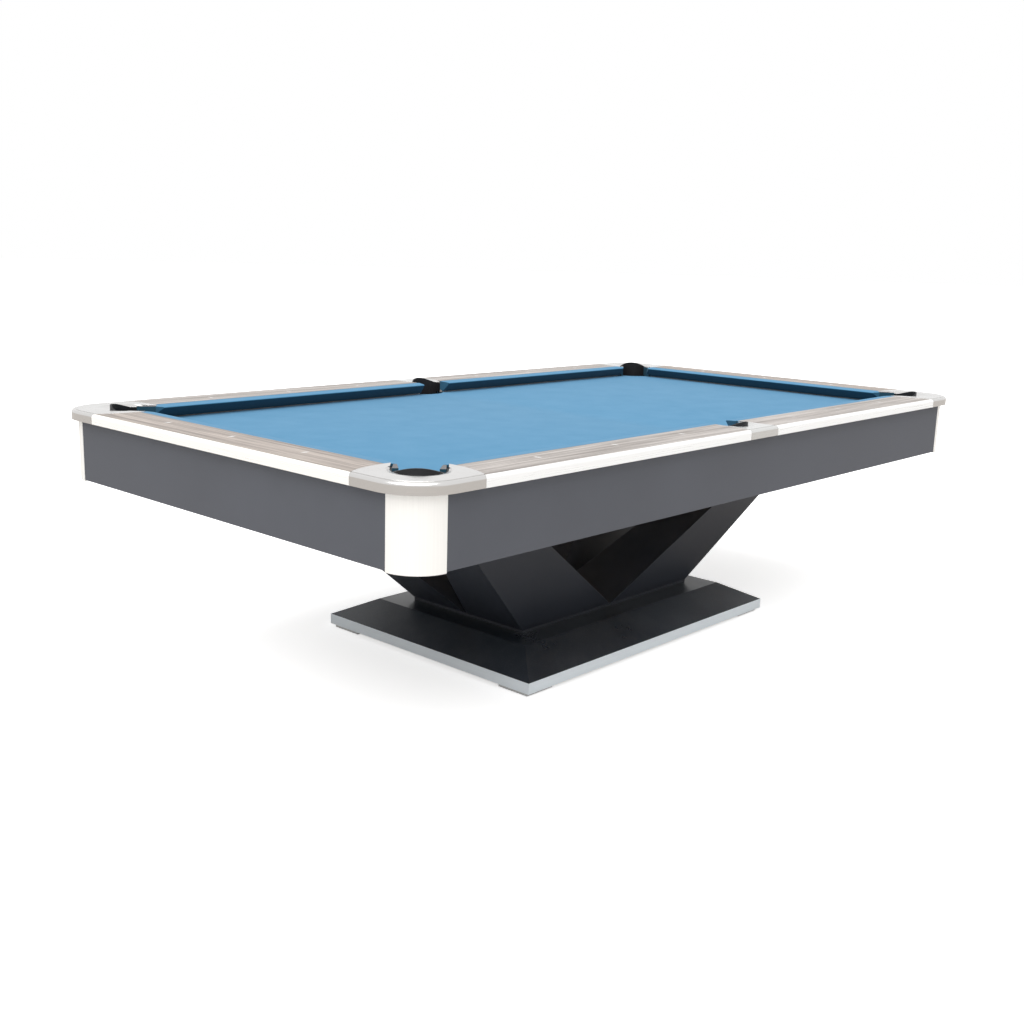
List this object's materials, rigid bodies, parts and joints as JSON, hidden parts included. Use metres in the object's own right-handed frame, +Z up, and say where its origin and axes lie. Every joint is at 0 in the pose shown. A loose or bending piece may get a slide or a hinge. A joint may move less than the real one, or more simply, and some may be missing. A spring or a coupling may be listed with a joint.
{
  "type": "pool table",
  "caption": "Slate-bed pool table with drop pockets, metal-trimmed rails and a faceted X-shaped pedestal on a wide plinth with levelling feet.",
  "frame": {"origin": "on the floor, under the middle of the bed", "axes": "+Z up, X along the long side, the front long side at -Y"},
  "size_m": [2.906, 1.636, 0.813],
  "materials": {
    "apron_laminate": "matte",
    "cloth": "worsted",
    "cloth_cushion": "worsted",
    "casting": "satin",
    "side_casting": "satin",
    "liner": "leather grain",
    "facing": "mottled",
    "post": "satin brushed",
    "frame_wood": "planed",
    "frame_steel": "satin",
    "foot_plate": "moulded",
    "zinc_steel": "zinc plated",
    "pedestal_paint": "satin lacquer on board",
    "plinth_band": "brushed",
    "plinth_paint": "satin lacquer on board",
    "board": "fibreboard",
    "trim": "polished satin",
    "rail_wood": "weathered oak laminate",
    "sight": "pearl",
    "slate": "honed"
  },
  "bodies": {
    "root": {"apron_back": "apron_laminate", "apron_brackets": "frame_steel", "apron_front": "apron_laminate", "apron_left": "apron_laminate", "apron_right": "apron_laminate", "bed_cloth": "cloth", "corner_casting_back_left": "casting", "corner_casting_back_right": "casting", "corner_casting_front_left": "casting", "corner_casting_front_right": "casting", "corner_facings": "facing", "corner_pocket_liners": "liner", "corner_post_back_left": "post", "corner_post_back_right": "post", "corner_post_front_left": "post", "corner_post_front_right": "post", "cross_beams": "frame_wood", "cushion_back_left": "cloth_cushion", "cushion_back_right": "cloth_cushion", "cushion_end_left": "cloth_cushion", "cushion_end_right": "cloth_cushion", "cushion_front_left": "cloth_cushion", "cushion_front_right": "cloth_cushion", "leveller_nuts": "zinc_steel", "long_beam_back": "frame_wood", "long_beam_front": "frame_wood", "pedestal_foot_plate": "pedestal_paint", "pedestal_head_plates": "frame_steel", "pedestal_limb_back_left": "pedestal_paint", "pedestal_limb_back_right": "pedestal_paint", "pedestal_limb_front_left": "pedestal_paint", "pedestal_limb_front_right": "pedestal_paint", "plinth_bands_end": "plinth_band", "plinth_bands_long": "plinth_band", "plinth_board": "board", "plinth_hood": "plinth_paint", "rail_back_left": "rail_wood", "rail_back_right": "rail_wood", "rail_bolts": "zinc_steel", "rail_end_left": "rail_wood", "rail_end_right": "rail_wood", "rail_front_left": "rail_wood", "rail_front_right": "rail_wood", "rail_trims_end": "trim", "rail_trims_long": "trim", "side_casting_back": "side_casting", "side_casting_front": "side_casting", "side_pocket_liners": "liner", "sights": "sight", "slate_left": "slate", "slate_middle": "slate", "slate_right": "slate"},
    "foot_back_right": {"foot_pad_back_right": "foot_plate"},
    "screw_back_right": {"levelling_screw_back_right": "zinc_steel"},
    "foot_back_left": {"foot_pad_back_left": "foot_plate"},
    "screw_back_left": {"levelling_screw_back_left": "zinc_steel"},
    "foot_front_right": {"foot_pad_front_right": "foot_plate"},
    "screw_front_right": {"levelling_screw_front_right": "zinc_steel"},
    "foot_front_left": {"foot_pad_front_left": "foot_plate"},
    "screw_front_left": {"levelling_screw_front_left": "zinc_steel"}
  },
  "joints": [
    {"name": "foot_height_back_right", "type": "slide", "parent": "root", "child": "foot_back_right", "axis": [0, 0, -1], "range_m": [0, 0.01]},
    {"name": "screw_turn_back_right", "type": "hinge", "parent": "foot_back_right", "child": "screw_back_right", "pos_m": [0.59, 0.394, 0.03], "axis": [0, 0, -1], "range_deg": [0, 1440]},
    {"name": "foot_height_back_left", "type": "slide", "parent": "root", "child": "foot_back_left", "axis": [0, 0, -1], "range_m": [0, 0.01]},
    {"name": "screw_turn_back_left", "type": "hinge", "parent": "foot_back_left", "child": "screw_back_left", "pos_m": [-0.59, 0.394, 0.03], "axis": [0, 0, -1], "range_deg": [0, 1440]},
    {"name": "foot_height_front_right", "type": "slide", "parent": "root", "child": "foot_front_right", "axis": [0, 0, -1], "range_m": [0, 0.01]},
    {"name": "screw_turn_front_right", "type": "hinge", "parent": "foot_front_right", "child": "screw_front_right", "pos_m": [0.59, -0.394, 0.03], "axis": [0, 0, -1], "range_deg": [0, 1440]},
    {"name": "foot_height_front_left", "type": "slide", "parent": "root", "child": "foot_front_left", "axis": [0, 0, -1], "range_m": [0, 0.01]},
    {"name": "screw_turn_front_left", "type": "hinge", "parent": "foot_front_left", "child": "screw_front_left", "pos_m": [-0.59, -0.394, 0.03], "axis": [0, 0, -1], "range_deg": [0, 1440]}
  ],
  "couplings": [
    {"joint": "screw_turn_back_right", "follows": "foot_height_back_right", "rad_per_m": 2513.3},
    {"joint": "screw_turn_back_left", "follows": "foot_height_back_left", "rad_per_m": 2513.3},
    {"joint": "screw_turn_front_right", "follows": "foot_height_front_right", "rad_per_m": 2513.3},
    {"joint": "screw_turn_front_left", "follows": "foot_height_front_left", "rad_per_m": 2513.3}
  ]
}
